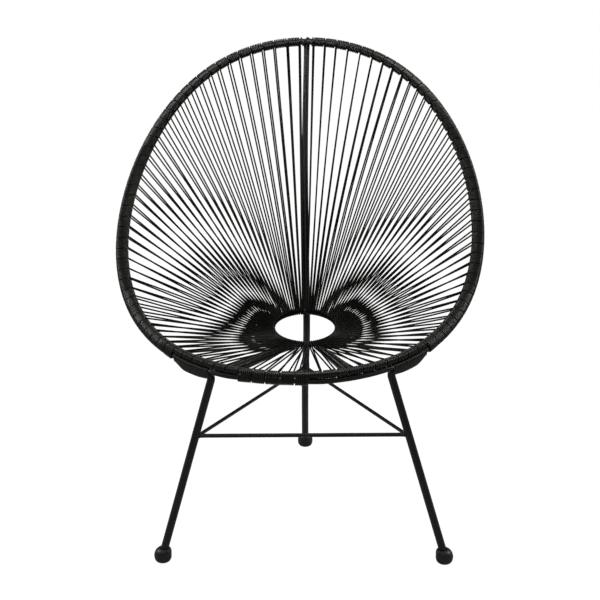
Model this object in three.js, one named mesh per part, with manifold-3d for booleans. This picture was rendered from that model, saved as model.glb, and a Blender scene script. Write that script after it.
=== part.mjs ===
// Acapulco chair: an egg-shaped hoop of two rods and a small ring, strung with two layers of cord,
// carried by two front legs, a rear leg that runs on up the back as a spine, and three thin stretchers.
// Millimetres, +Z up. The sitter faces -Y. Left and right are as seen from the front, so left is -X.
import * as THREE from 'three';
import { mergeVertices } from 'three/addons/utils/BufferGeometryUtils.js';
import Module from 'manifold-3d';

const wasm = await Module();
wasm.setup();

// Hoop, measured along the inner rod's centre line
const hoopHalfWidth = 355.6;
const hoopDepth = 709;
const hoopFrontHeight = 400;
const hoopTopHeight = 901;
const eggWidthShares = { second: -0.037, third: -0.029 };
const eggDepthShares = { second: -0.108, third: -0.023 };
const hoopRodRadius = 5;

// The hoop sits a little turned on its legs, about the upright through its top, and its back leans sideways
const hoopTurn = THREE.MathUtils.degToRad(-2.4);
const hoopLean = 3.7;

// Ring at the bottom of the seat, with its back edge a little higher than its front edge
const ringRadius = 72.4;
const ringRodRadius = 5;
const ringHeight = 360.5;
const ringSetBack = -7.5;
const ringTilt = THREE.MathUtils.degToRad(9);

// Legs, spine, arms and stretchers
const legRadius = 7;
const legBend = 16;
const spineBend = 26;
const spineDrop = 30;
const spineClearOfRing = 19.2;
const spineEndDrop = 2.5;
const armRadius = 7;
const armTipRadius = 4;
const armTaperShares = { from: 0.35, to: 0.7 };
const frontStretcherRadius = 3.5;
const sideStretcherRadius = 3.25;
const frontStretcherHeight = 258.5;
const sideStretcherStep = -5;
const rearJointHeight = 223.5;
const rearJointSpread = 1.6;
const weldFlare = 0.9;
const weldLength = 4.5;

// Feet
const frontFootHalfSpacing = 275;
const frontFootY = -344;
const rearFootY = 164.5;
const capRadius = 17;
const capHeight = 29;
const capBase = 6;
const capProfileShares = [
  [0, 0], [0.5, 0], [0.78, 0.06], [0.95, 0.2], [1, 0.36], [1, 0.6], [0.93, 0.8], [0.7, 1], [0, 1],
];

// Cord, its stations round the hoop and its winding
const stationCount = 100;
const cordRadius = 1.7;
const clearance = 0.3;
const windingWall = 0.45;
const windingHeight = 2.3;
const cordEndSetBack = 3;
const strandSeatLength = 45;
const lugThickness = 5;
const lugLength = 6;
const lugDepth = 14;

// Where things meet the hoop, as shares of its length counted from the top down each side
const notchShares = { left: 0.405, right: 0.385 };
const legShares = { left: 0.444, right: 0.424 };
const armShares = { left: 0.45, right: 0.45 };
const frontWindingShares = { left: 0.465, right: 0.485 };
const runCount = 10;

// Direction from the inner to the outer hoop rod, below the horizontal
const rodPairTiltBack = THREE.MathUtils.degToRad(-12);
const rodPairTiltFront = THREE.MathUtils.degToRad(66);
const tiltChangeShares = { from: 0.18, to: 0.45 };
const legHugTilt = THREE.MathUtils.degToRad(70);

// Facets
const rodSides = 8;
const tubeSides = 12;
const cordSides = 5;
const bendSteps = 6;
const capSegments = 20;
const hoopSamples = 4000;
const aimPasses = 4;

const up = new THREE.Vector3(0, 0, 1);
const pairSpacing = 2 * hoopRodRadius + clearance;
const boreRadius = (hoopRodRadius + clearance) / Math.cos(Math.PI / rodSides);
const grooveRadius = boreRadius + windingWall;
const crownRadius = boreRadius + windingHeight;
const hoopWrapRadius = grooveRadius + 1.5 * clearance + cordRadius;
const ringWrapRadius = ringRodRadius + clearance + cordRadius;
const bareSpacing = hoopWrapRadius + cordRadius + hoopRodRadius + 3 * clearance;

// Solids from lists of rings: side faces between neighbours, and caps unless the run closes on itself
function facesBetween(first, second, count, flip) {
  const faces = [];
  for (let i = 0; i < count; i += 1) {
    const j = (i + 1) % count;
    const quad = [first + i, second + i, second + j, first + j];
    const order = flip ? [0, 2, 1, 0, 3, 2] : [0, 1, 2, 0, 2, 3];
    faces.push(...order.map((corner) => quad[corner]));
  }
  return faces;
}

function capFaces(first, count, flip) {
  const faces = [];
  for (let i = 1; i < count - 1; i += 1) {
    faces.push(first, ...(flip ? [first + i + 1, first + i] : [first + i, first + i + 1]));
  }
  return faces;
}

function signedVolume(points, faces) {
  let volume = 0;
  for (let i = 0; i < faces.length; i += 3) {
    const [a, b, c] = [points[faces[i]], points[faces[i + 1]], points[faces[i + 2]]];
    volume += a.dot(b.clone().cross(c));
  }
  return volume;
}

function geometryFrom(points, faces) {
  const turned = signedVolume(points, faces) < 0;
  const ordered = turned ? faces.slice().reverse() : faces;
  const geometry = new THREE.BufferGeometry();
  const numbers = points.flatMap((p) => p.toArray());
  geometry.setAttribute('position', new THREE.Float32BufferAttribute(numbers, 3));
  geometry.setIndex(ordered);
  geometry.computeVertexNormals();
  return geometry;
}

function loft(rings, closed) {
  const count = rings[0].length;
  const faces = [];
  const last = closed ? rings.length : rings.length - 1;
  for (let i = 0; i < last; i += 1) {
    faces.push(...facesBetween(i * count, ((i + 1) % rings.length) * count, count, false));
  }
  if (!closed) {
    faces.push(...capFaces(0, count, false));
    faces.push(...capFaces((rings.length - 1) * count, count, true));
  }
  return geometryFrom(rings.flat(), faces);
}

// A hollow sleeve: outer and inner rings joined by a flat annulus at each end
function sleeve(outerRings, innerRings) {
  const count = outerRings[0].length;
  const innerStart = outerRings.length * count;
  const innerLast = innerStart + (innerRings.length - 1) * count;
  const faces = [];
  for (let i = 0; i < outerRings.length - 1; i += 1) {
    faces.push(...facesBetween(i * count, (i + 1) * count, count, false));
  }
  for (let i = 0; i < innerRings.length - 1; i += 1) {
    faces.push(...facesBetween(innerStart + i * count, innerStart + (i + 1) * count, count, true));
  }
  faces.push(...facesBetween(0, innerStart, count, true));
  faces.push(...facesBetween(innerStart - count, innerLast, count, false));
  return geometryFrom([...outerRings.flat(), ...innerRings.flat()], faces);
}

// A round tube along a chain of points, mitred where the chain turns
function tube(points, radius, sides) {
  const steps = points.slice(1).map((p, i) => p.clone().sub(points[i]).normalize());
  const side = Math.abs(steps[0].z) < 0.9 ? up : new THREE.Vector3(1, 0, 0);
  const first = new THREE.Vector3().crossVectors(steps[0], side).normalize();
  const second = new THREE.Vector3().crossVectors(steps[0], first);
  let ring = Array.from({ length: sides }, (_, i) => {
    const angle = (2 * Math.PI * i) / sides;
    const offset = first.clone().multiplyScalar(Math.cos(angle)).addScaledVector(second, Math.sin(angle));
    return points[0].clone().addScaledVector(offset, radius);
  });
  const rings = [ring];
  for (let i = 1; i < points.length; i += 1) {
    const step = steps[i - 1];
    const facing = i < steps.length ? step.clone().add(steps[i]).normalize() : step;
    ring = ring.map((p) => {
      const travel = points[i].clone().sub(p).dot(facing) / step.dot(facing);
      return p.clone().addScaledVector(step, travel);
    });
    rings.push(ring);
  }
  return loft(rings, false);
}

function toSolid(geometry) {
  const plain = geometry.clone();
  plain.deleteAttribute('normal');
  plain.deleteAttribute('uv');
  const merged = mergeVertices(plain);
  return new wasm.Manifold(new wasm.Mesh({
    numProp: 3,
    vertProperties: new Float32Array(merged.attributes.position.array),
    triVerts: new Uint32Array(merged.index.array),
  }));
}

function cut(geometry, ...tools) {
  const solid = tools.reduce((body, tool) => body.subtract(toSolid(tool)), toSolid(geometry));
  const mesh = solid.getMesh();
  const result = new THREE.BufferGeometry();
  result.setAttribute('position', new THREE.Float32BufferAttribute(mesh.vertProperties, 3));
  result.setIndex(Array.from(mesh.triVerts));
  result.computeVertexNormals();
  return result;
}

const hoopTop = new THREE.Vector3(0, hoopDepth / 2, 0);

// The hoop's centre line: an egg in plan that stays level at the front and rises behind as a parabola
function hoopPoint(turn) {
  const across = Math.sin(turn) + eggWidthShares.second * Math.sin(2 * turn)
    + eggWidthShares.third * Math.sin(3 * turn);
  const along = Math.cos(turn) + eggDepthShares.second * (Math.cos(2 * turn) - 1)
    + eggDepthShares.third * (Math.cos(3 * turn) - Math.cos(turn));
  const climb = ((along + 1) / 2) ** 2;
  const height = hoopFrontHeight + (hoopTopHeight - hoopFrontHeight) * climb;
  const point = new THREE.Vector3(hoopHalfWidth * across, (hoopDepth / 2) * along, height);
  point.sub(hoopTop).applyAxisAngle(up, hoopTurn).add(hoopTop);
  point.x += hoopLean * climb;
  return point;
}

function arcLengths() {
  const lengths = [0];
  let previous = hoopPoint(0);
  for (let i = 1; i <= hoopSamples; i += 1) {
    const point = hoopPoint((2 * Math.PI * i) / hoopSamples);
    lengths.push(lengths[i - 1] + point.distanceTo(previous));
    previous = point;
  }
  return lengths;
}

const lengthTable = arcLengths();
const hoopLength = lengthTable[hoopSamples];

function turnAt(station) {
  const share = ((station / stationCount) % 1 + 1) % 1;
  const target = share * hoopLength;
  let low = 0;
  let high = hoopSamples;
  while (high - low > 1) {
    const middle = (low + high) >> 1;
    if (lengthTable[middle] <= target) low = middle;
    else high = middle;
  }
  const part = (target - lengthTable[low]) / (lengthTable[high] - lengthTable[low]);
  return (2 * Math.PI * (low + part)) / hoopSamples;
}

// Stations are counted from the top towards the right, with a cord at every half station
const sideOf = (station) => (station > stationCount / 2 ? 'left' : 'right');
const fromTop = (station) => Math.min(station, stationCount - station);
const onSide = (distance, side) => (side === 'left' ? stationCount - distance : distance);
const onCord = (share) => Math.floor(stationCount * share) + 0.5;
const betweenCords = (share) => Math.round(stationCount * share);

// How far a station lies inside the stretches where both hoop rods are wound together, from 0 to 1
function woundTogether(station) {
  const side = sideOf(station);
  const beyondNotch = fromTop(station) - onCord(notchShares[side]);
  const beyondFront = fromTop(station) - onCord(frontWindingShares[side]);
  const behind = THREE.MathUtils.clamp((1 - beyondNotch) / 2, 0, 1);
  const front = THREE.MathUtils.clamp((1 + beyondFront) / 2, 0, 1);
  return Math.max(behind, front);
}

// Section of the hoop at a whole cord position: outward and upward axes square to the rod
function hoopSectionAt(station) {
  const turn = turnAt(station);
  const nudge = Math.PI / hoopSamples;
  const centre = hoopPoint(turn);
  const tangent = hoopPoint(turn + nudge).sub(hoopPoint(turn - nudge)).normalize();
  const outward = new THREE.Vector3().crossVectors(up, tangent).normalize();
  const upward = new THREE.Vector3().crossVectors(tangent, outward).normalize();
  const share = fromTop(station) / stationCount;
  const front = THREE.MathUtils.smoothstep(share, tiltChangeShares.from, tiltChangeShares.to);
  const tilt = THREE.MathUtils.lerp(rodPairTiltBack, rodPairTiltFront, front);
  const spacing = THREE.MathUtils.lerp(bareSpacing, pairSpacing, woundTogether(station));
  const pair = new THREE.Vector2(Math.cos(tilt), -Math.sin(tilt)).multiplyScalar(spacing);
  return { centre, outward, upward, pair, tilt };
}

const hoopSections = Array.from({ length: stationCount }, (_, i) => hoopSectionAt(i + 0.5));

// Between stations the rods run straight, so a section there is blended from its two neighbours
function hoopSection(station) {
  const place = ((station - 0.5) % stationCount + stationCount) % stationCount;
  const index = Math.floor(place);
  const part = place - index;
  const a = hoopSections[index];
  const b = hoopSections[(index + 1) % stationCount];
  return {
    centre: a.centre.clone().lerp(b.centre, part),
    outward: a.outward.clone().lerp(b.outward, part),
    upward: a.upward.clone().lerp(b.upward, part),
    pair: a.pair.clone().lerp(b.pair, part),
    tilt: THREE.MathUtils.lerp(a.tilt, b.tilt, part),
  };
}

function placeIn(section, x, y) {
  return section.centre.clone().addScaledVector(section.outward, x).addScaledVector(section.upward, y);
}

// The facets of rods and winding keep a flat side along the line between the two rods
function ringFacings(section) {
  return Array.from({ length: rodSides }, (_, i) => {
    const angle = (2 * Math.PI * (i + 0.5)) / rodSides - section.tilt;
    return new THREE.Vector2(Math.cos(angle), Math.sin(angle));
  });
}

function roundRing(section, centre, radius) {
  return ringFacings(section).map((facing) => {
    return placeIn(section, centre.x + radius * facing.x, centre.y + radius * facing.y);
  });
}

// Outline round one rod, or stretched round the pair
function windingRing(section, radius, aroundPair) {
  return ringFacings(section).map((facing) => {
    const shift = aroundPair && section.pair.dot(facing) > 0 ? section.pair : new THREE.Vector2();
    return placeIn(section, shift.x + radius * facing.x, shift.y + radius * facing.y);
  });
}

function hoopRod(outer, radius) {
  const centreOf = (section) => (outer ? section.pair : new THREE.Vector2());
  return loft(hoopSections.map((section) => roundRing(section, centreOf(section), radius)), true);
}

// One stretch of winding: a groove under each crossing cord, and a crown between two grooves
function winding(start, end, aroundPair) {
  const outer = [windingRing(hoopSection(start), grooveRadius, aroundPair)];
  const inner = [windingRing(hoopSection(start), boreRadius, aroundPair)];
  for (let station = Math.floor(start - 0.5) + 0.5; station < end; station += 1) {
    const crown = station + 0.5;
    const groove = Math.min(station + 1, end);
    if (crown > start && crown < end) outer.push(windingRing(hoopSection(crown), crownRadius, aroundPair));
    outer.push(windingRing(hoopSection(groove), grooveRadius, aroundPair));
    inner.push(windingRing(hoopSection(groove), boreRadius, aroundPair));
  }
  return sleeve(outer, inner);
}

// Ring of the seat
const ringBack = new THREE.Vector3(0, Math.cos(ringTilt), Math.sin(ringTilt));
const ringNormal = new THREE.Vector3(0, -Math.sin(ringTilt), Math.cos(ringTilt));
const ringCentre = new THREE.Vector3(0, ringSetBack, ringHeight);

function ringSection(angle) {
  const outward = new THREE.Vector3(Math.sin(angle), 0, 0).addScaledVector(ringBack, Math.cos(angle));
  return {
    centre: ringCentre.clone().addScaledVector(outward, ringRadius),
    outward: outward.clone().negate(),
    upward: ringNormal,
  };
}

function ringTorus(radius) {
  const torus = new THREE.TorusGeometry(ringRadius, radius, 10, 60);
  const turn = new THREE.Matrix4().makeRotationX(ringTilt);
  return torus.applyMatrix4(turn).translate(ringCentre.x, ringCentre.y, ringCentre.z);
}

// Cords keep clear of the lug behind, and are spread evenly over the rest of the ring
const lugGapAngle = (lugThickness + 2 * cordRadius + 2.5 * clearance) / ringRadius;
const ringPitchAngle = (2 * Math.PI - lugGapAngle) / (stationCount - 1);
const ringAngle = (index) => lugGapAngle / 2 + index * ringPitchAngle;

// Corners of a cord that bends round a rod: the crossings of the lines that touch the rod's outline
function touchingCorner(angles, reach) {
  const [a, b] = angles.map((angle) => new THREE.Vector2(Math.cos(angle), Math.sin(angle)));
  const [ha, hb] = [reach(a), reach(b)];
  const det = a.x * b.y - a.y * b.x;
  return new THREE.Vector2((ha * b.y - hb * a.y) / det, (hb * a.x - ha * b.x) / det);
}

function wrapCorners(section, towardsTop, towardsBottom, reach) {
  const { outward, upward } = section;
  const plane = (direction) => new THREE.Vector2(direction.dot(outward), direction.dot(upward));
  const top = plane(towardsTop);
  const bottom = plane(towardsBottom);
  const topAngle = Math.atan2(-top.x, top.y);
  const bottomAngle = Math.atan2(bottom.x, -bottom.y);
  const lines = [0, 1, 2, 3].map((i) => THREE.MathUtils.lerp(topAngle, bottomAngle, i / 3));
  return [0, 1, 2].map((i) => {
    const corner = touchingCorner([lines[i], lines[i + 1]], reach);
    return placeIn(section, corner.x, corner.y);
  });
}

// One station: where its two strands turn round the hoop and round the ring. Each pass aims the strands
// at the corners found by the pass before
function stationCorners(index) {
  const hoop = hoopSections[index];
  const ring = ringSection(ringAngle(index));
  const aroundPair = woundTogether(index + 0.5) >= 0.5;
  const hoopReach = (facing) => hoopWrapRadius + (aroundPair ? Math.max(0, hoop.pair.dot(facing)) : 0);
  const ringReach = () => ringWrapRadius;
  let top = ring.centre.clone().sub(hoop.centre);
  let bottom = top;
  let found;
  for (let pass = 0; pass < aimPasses; pass += 1) {
    found = {
      hoop: wrapCorners(hoop, top, bottom, hoopReach),
      ring: wrapCorners(ring, top.clone().negate(), bottom.clone().negate(), ringReach),
    };
    top = found.ring[0].clone().sub(found.hoop[0]);
    bottom = found.ring[2].clone().sub(found.hoop[2]);
  }
  return found;
}

const corners = Array.from({ length: stationCount }, (_, i) => stationCorners(i));

// One length of cord, from the middle of one turn round the hoop to the middle of another
function cordRoute(run) {
  const perRun = stationCount / runCount;
  const first = run * perRun;
  const points = [];
  for (let i = first; i < first + perRun; i += 1) {
    const here = corners[i % stationCount];
    const next = corners[(i + 1) % stationCount];
    if (i > first) points.push(here.hoop[1]);
    points.push(here.hoop[2], here.ring[2]);
    points.push(here.ring[1].clone().lerp(next.ring[1], 0.5), next.ring[0], next.hoop[0]);
  }
  const start = corners[first].hoop;
  const end = corners[(first + perRun) % stationCount].hoop;
  const setBack = (from, to) => from.clone().lerp(to, cordEndSetBack / from.distanceTo(to));
  return [setBack(start[1], start[2]), ...points, setBack(end[1], end[0])];
}

// Least gap between stretches of cord that aren't joined end to end
function segmentGap(a, b, c, d) {
  const [u, v, w] = [b.clone().sub(a), d.clone().sub(c), a.clone().sub(c)];
  const [uu, uv, vv, uw, vw] = [u.dot(u), u.dot(v), v.dot(v), u.dot(w), v.dot(w)];
  const det = uu * vv - uv * uv;
  let s = det > 1e-9 ? THREE.MathUtils.clamp((uv * vw - vv * uw) / det, 0, 1) : 0;
  const t = THREE.MathUtils.clamp((uv * s + vw) / vv, 0, 1);
  s = THREE.MathUtils.clamp((uv * t - uw) / uu, 0, 1);
  return a.clone().addScaledVector(u, s).distanceTo(c.clone().addScaledVector(v, t));
}

function leastCordGap(routes) {
  const pieces = [];
  routes.forEach((route, run) => {
    route.slice(1).forEach((p, i) => pieces.push({ a: route[i], b: p, run, i }));
  });
  let least = Infinity;
  for (let m = 0; m < pieces.length; m += 1) {
    for (let n = m + 1; n < pieces.length; n += 1) {
      const [one, two] = [pieces[m], pieces[n]];
      const neighbours = one.run === two.run && two.i - one.i < 2;
      if (neighbours) continue;
      least = Math.min(least, segmentGap(one.a, one.b, two.a, two.b));
    }
  }
  return least - 2 * cordRadius;
}

// Replaces the corner at a point by a smooth bend that starts and ends at the given distance from it
function bend(before, corner, after, distance) {
  const from = corner.clone().lerp(before, distance / corner.distanceTo(before));
  const to = corner.clone().lerp(after, distance / corner.distanceTo(after));
  return new THREE.QuadraticBezierCurve3(from, corner, to).getPoints(bendSteps);
}

function capPlace(x, y) {
  return new THREE.Vector3(x, y, capHeight / 2);
}

// The leg ends a little above the cap's base, inside its socket
function legFoot(place, towards) {
  const direction = towards.clone().sub(place).normalize();
  const lean = Math.hypot(direction.x, direction.y);
  const drop = capHeight / 2 - capBase - legRadius * lean - clearance;
  return place.clone().addScaledVector(direction, -drop / direction.z);
}

// A front leg runs up to the outer hoop rod, then turns and follows the rod to the end of the winding
function legHug(station) {
  const section = hoopSection(station);
  const reach = hoopRodRadius + legRadius + clearance;
  const x = section.pair.x - reach * Math.cos(legHugTilt);
  const y = section.pair.y - reach * Math.sin(legHugTilt);
  return placeIn(section, x, y);
}

function frontLegPath(side) {
  const place = capPlace((side === 'left' ? -1 : 1) * frontFootHalfSpacing, frontFootY);
  const hug = [];
  for (let at = stationCount * legShares[side]; at > onCord(notchShares[side]) + 0.5; at -= 0.5) {
    hug.push(legHug(onSide(at, side)));
  }
  const corner = hug[0];
  const afterIndex = hug.findIndex((p) => p.distanceTo(corner) > legBend);
  const turn = bend(place, corner, hug[afterIndex], legBend);
  return { place, path: [legFoot(place, corner), ...turn, ...hug.slice(afterIndex)] };
}

// The rear leg bends under the ring's back edge and goes on up to the outer hoop rod
const spineFoot = capPlace(0, rearFootY);

function rearLegPath() {
  const ringRear = ringSection(0).centre;
  const top = hoopSection(0);
  const spineTop = placeIn(top, top.pair.x, top.pair.y);
  const rise = spineTop.clone().sub(ringRear).normalize();
  const behind = new THREE.Vector3(0, rise.z, -rise.y);
  const passing = ringRear.clone().addScaledVector(behind, spineClearOfRing);
  const slope = spineTop.clone().sub(passing).normalize();
  const corner = passing.clone().addScaledVector(slope, -spineDrop);
  const turn = bend(spineFoot, corner, spineTop, spineBend);
  const end = spineTop.clone().addScaledVector(slope, -spineEndDrop);
  return { passing, slope, path: [legFoot(spineFoot, corner), ...turn, end] };
}

function pointAtHeight(path, height) {
  const [a, b] = [path[0], path[1]];
  return a.clone().lerp(b, (height - a.z) / (b.z - a.z));
}

// A turned body from one point towards another, with its profile as radius and distance
function turned(from, to, profile) {
  const lathe = new THREE.LatheGeometry(profile.map(([x, y]) => new THREE.Vector2(x, y)), tubeSides);
  const direction = to.clone().sub(from).normalize();
  const turn = new THREE.Quaternion().setFromUnitVectors(new THREE.Vector3(0, 1, 0), direction);
  return lathe.applyQuaternion(turn).translate(from.x, from.y, from.z);
}

// A straight rod between two points, a little thicker at its welded ends
function weldedRod(from, to, radius, flare) {
  const length = from.distanceTo(to);
  const flareEnd = legRadius + clearance;
  const weldEnd = flareEnd + weldLength;
  const half = [[0, 0], [radius + flare, 0], [radius + flare, flareEnd], [radius, weldEnd]];
  return turned(from, to, [...half, ...half.map(([r, y]) => [r, length - y]).reverse()]);
}

// Foot cap: a flattened ball with a flat base and a slanted socket for the leg
function footCap(place, path) {
  const profile = capProfileShares.map(([r, z]) => new THREE.Vector2(r * capRadius, z * capHeight));
  const ball = new THREE.LatheGeometry(profile, capSegments).rotateX(Math.PI / 2);
  ball.translate(place.x, place.y, 0);
  const direction = path[1].clone().sub(path[0]).normalize();
  const from = path[0].clone().addScaledVector(direction, -clearance);
  const to = path[0].clone().addScaledVector(direction, 2 * capHeight);
  return cut(ball, tube([from, to], legRadius + clearance, tubeSides));
}

function steel(name, colour) {
  return new THREE.MeshStandardMaterial({ name, color: colour, roughness: 0.45, metalness: 0.6 });
}

function plastic(name, colour, roughness) {
  return new THREE.MeshStandardMaterial({ name, color: colour, roughness, metalness: 0 });
}

const chair = new THREE.Group();
chair.name = 'acapulco_chair';

function addPart(name, geometry, material) {
  const mesh = new THREE.Mesh(geometry, material);
  mesh.name = name;
  chair.add(mesh);
}

// Hoop rods and ring
const innerClear = hoopRod(false, boreRadius);
const outerClear = hoopRod(true, boreRadius);
addPart('hoop_inner_rod', hoopRod(false, hoopRodRadius), steel('hoop steel', 0x1b1b1c));
addPart('hoop_outer_rod', hoopRod(true, hoopRodRadius), steel('outer hoop steel', 0x1c1c1d));
addPart('seat_ring', ringTorus(ringRodRadius), steel('ring steel', 0x1a1a1b));

// Rear leg with the spine, and the lug that joins it to the ring between two cords
const rear = rearLegPath();
const rearTube = tube(rear.path, legRadius, tubeSides);
const clearEnd = rear.path.at(-1).clone().addScaledVector(rear.slope, clearance);
const rearClear = tube([...rear.path.slice(0, -1), clearEnd], legRadius + clearance, tubeSides);
addPart('rear_leg_spine', cut(rearTube, innerClear, outerClear), steel('rear leg steel', 0x1e1e20));

function ringLug() {
  const block = new THREE.BoxGeometry(lugThickness, lugLength, lugDepth);
  const normal = new THREE.Vector3().crossVectors(new THREE.Vector3(1, 0, 0), rear.slope);
  const basis = new THREE.Matrix4().makeBasis(new THREE.Vector3(1, 0, 0), rear.slope, normal);
  const middle = rear.passing.clone().addScaledVector(normal, spineClearOfRing / 2);
  block.applyMatrix4(basis).translate(middle.x, middle.y, middle.z);
  return cut(block, ringTorus(ringRodRadius + clearance), rearClear);
}

addPart('ring_lug', ringLug(), steel('lug steel', 0x1d1d1e));

// Front legs with their caps
const frontLegs = { left: frontLegPath('left'), right: frontLegPath('right') };
const legClear = {};
for (const [side, leg] of Object.entries(frontLegs)) {
  addPart(`front_leg_${side}`, tube(leg.path, legRadius, tubeSides), steel(`${side} leg steel`, 0x1e1e20));
  legClear[side] = tube(leg.path, legRadius + clearance, tubeSides);
  const capPlastic = plastic(`${side} cap plastic`, 0x161616, 0.6);
  addPart(`foot_cap_front_${side}`, footCap(leg.place, leg.path), capPlastic);
}
addPart('foot_cap_rear', footCap(spineFoot, rear.path), plastic('rear cap plastic', 0x161616, 0.6));

// Arms from the ring, inside the two layers of cord, to the outer hoop rod, drawn thinner towards the ring
function seatArm(side, extra) {
  const station = onSide(betweenCords(armShares[side]), side);
  const angle = (ringAngle(station - 1) + ringAngle(station)) / 2;
  const ringEnd = ringSection(angle).centre;
  const hoop = hoopSection(station);
  const hoopEnd = placeIn(hoop, hoop.pair.x, hoop.pair.y);
  const length = ringEnd.distanceTo(hoopEnd);
  const [taperStart, taperEnd] = [armTaperShares.from * length, armTaperShares.to * length];
  const tip = armTipRadius + extra;
  const full = armRadius + extra;
  const profile = [[0, 0], [tip, 0], [tip, taperStart], [full, taperEnd], [full, length], [0, length]];
  return turned(ringEnd, hoopEnd, profile);
}

for (const side of Object.keys(armShares)) {
  const arm = cut(seatArm(side, 0), ringTorus(ringRodRadius + clearance), outerClear);
  addPart(`seat_arm_${side}`, arm, steel(`${side} arm steel`, 0x1d1d1f));
}

// Stretchers
const frontNodes = Object.fromEntries(Object.entries(frontLegs).map(([side, leg]) => {
  return [side, pointAtHeight(leg.path, frontStretcherHeight)];
}));
const frontRod = weldedRod(frontNodes.left, frontNodes.right, frontStretcherRadius, weldFlare);
const frontStretcher = cut(frontRod, legClear.left, legClear.right);
addPart('front_stretcher', frontStretcher, steel('stretcher steel', 0x1e1e1f));

for (const [side, leg] of Object.entries(frontLegs)) {
  const from = pointAtHeight(leg.path, frontStretcherHeight + sideStretcherStep);
  const to = pointAtHeight(rear.path, rearJointHeight);
  to.x += (side === 'left' ? -1 : 1) * rearJointSpread;
  const rod = cut(weldedRod(from, to, sideStretcherRadius, 0), legClear[side], rearClear);
  addPart(`side_stretcher_${side}`, rod, steel(`${side} stretcher steel`, 0x1e1e1f));
}

// Seats in the winding for the strands that leave it at a slant
function strandSeats() {
  const wound = corners.filter((found, index) => {
    const station = index + 0.5;
    return fromTop(station) < onCord(notchShares[sideOf(station)]);
  });
  return wound.flatMap(({ hoop, ring }) => [0, 2].map((i) => {
    const end = hoop[i].clone().lerp(ring[i], strandSeatLength / hoop[i].distanceTo(ring[i]));
    return tube([hoop[i], end], cordRadius + clearance, rodSides);
  }));
}

// Winding of the hoop, with openings where the spine and the arms pass
const notchAt = (side) => onSide(onCord(notchShares[side]), side);
const frontAt = (side) => onSide(onCord(frontWindingShares[side]), side);
const endGap = clearance / (hoopLength / stationCount);
const backWinding = winding(notchAt('left') - stationCount, notchAt('right'), true);
const cornerWindings = {
  right: winding(notchAt('right') + endGap, frontAt('right') - endGap, false),
  left: winding(frontAt('left') + endGap, notchAt('left') - endGap, false),
};
const windingPlastic = (name) => plastic(name, 0x1f1f1e, 0.55);
addPart('hoop_winding_back', cut(backWinding, rearClear, ...strandSeats()), windingPlastic('back winding'));
for (const [side, geometry] of Object.entries(cornerWindings)) {
  const opened = cut(geometry, seatArm(side, clearance));
  addPart(`hoop_winding_corner_${side}`, opened, windingPlastic(`${side} corner winding`));
}
const frontWinding = winding(frontAt('right'), frontAt('left'), true);
addPart('hoop_winding_front', frontWinding, windingPlastic('front winding'));

// Cord of the seat, in as many lengths as there are runs
const routes = Array.from({ length: runCount }, (_, run) => cordRoute(run));
routes.forEach((route, run) => {
  const name = `cord_run_${String(run + 1).padStart(2, '0')}`;
  addPart(name, tube(route, cordRadius, cordSides), plastic(name.replaceAll('_', ' '), 0x242423, 0.5));
});
console.log(`least gap between strands of cord: ${leastCordGap(routes).toFixed(2)} mm`);

// The origin is on the floor, under the middle of the chair
const box = new THREE.Box3().setFromObject(chair);
const middle = box.getCenter(new THREE.Vector3());
chair.position.set(-middle.x, -middle.y, -box.min.z);

export default chair;
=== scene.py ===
import math
import bpy
import numpy as np
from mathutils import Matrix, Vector


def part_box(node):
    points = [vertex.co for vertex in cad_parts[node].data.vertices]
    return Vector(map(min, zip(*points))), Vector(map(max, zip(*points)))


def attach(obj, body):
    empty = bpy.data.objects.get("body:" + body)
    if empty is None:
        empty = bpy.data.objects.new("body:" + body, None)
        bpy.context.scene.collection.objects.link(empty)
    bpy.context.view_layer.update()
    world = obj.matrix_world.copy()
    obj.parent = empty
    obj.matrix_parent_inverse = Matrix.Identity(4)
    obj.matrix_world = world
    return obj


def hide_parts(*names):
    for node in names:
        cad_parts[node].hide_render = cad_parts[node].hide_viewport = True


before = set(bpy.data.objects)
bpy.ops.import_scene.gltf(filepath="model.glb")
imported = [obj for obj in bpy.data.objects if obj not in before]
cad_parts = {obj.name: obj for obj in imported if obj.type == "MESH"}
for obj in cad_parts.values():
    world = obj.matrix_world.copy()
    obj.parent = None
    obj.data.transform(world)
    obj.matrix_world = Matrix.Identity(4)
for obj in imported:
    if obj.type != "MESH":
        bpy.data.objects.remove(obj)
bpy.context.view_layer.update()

print("frame loaded")

layScale = 40    # how far a pattern laid along a cord or tube moves on for each metre
worldUp = np.array([0.0, 0.0, 1.0])


def unit(v):
    # v divided by its length, along the last axis
    return v / np.linalg.norm(v, axis=-1, keepdims=True)


def dot(a, b):
    # the products of a and b summed along the last axis, which is kept
    return (a * b).sum(-1, keepdims=True)


def smooth(low, high, value):
    # 3 t^2 - 2 t^3 with t running from 0 at low to 1 at high
    t = np.clip((value - low) / (high - low), 0, 1)
    return t * t * (3 - 2 * t)


def straight(a, b, steps):
    # a (1 - t) + b t
    t = np.linspace(0, 1, steps)[:, None]
    return a * (1 - t) + b * t


def bend(before, corner, after, distance, steps):
    # (1 - t)^2 a + 2 t (1 - t) corner + t^2 b, with a and b the given distance from the corner
    a = corner + unit(before - corner) * distance
    b = corner + unit(after - corner) * distance
    t = np.linspace(0, 1, steps)[:, None]
    return (1 - t) ** 2 * a + 2 * t * (1 - t) * corner + t ** 2 * b


def alongPath(path):
    # distance from the first point of each path, summed over its steps
    steps = np.linalg.norm(np.diff(path, axis=-2), axis=-1)
    return np.concatenate([np.zeros(steps.shape[:-1] + (1,)), np.cumsum(steps, -1)], -1)


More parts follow.
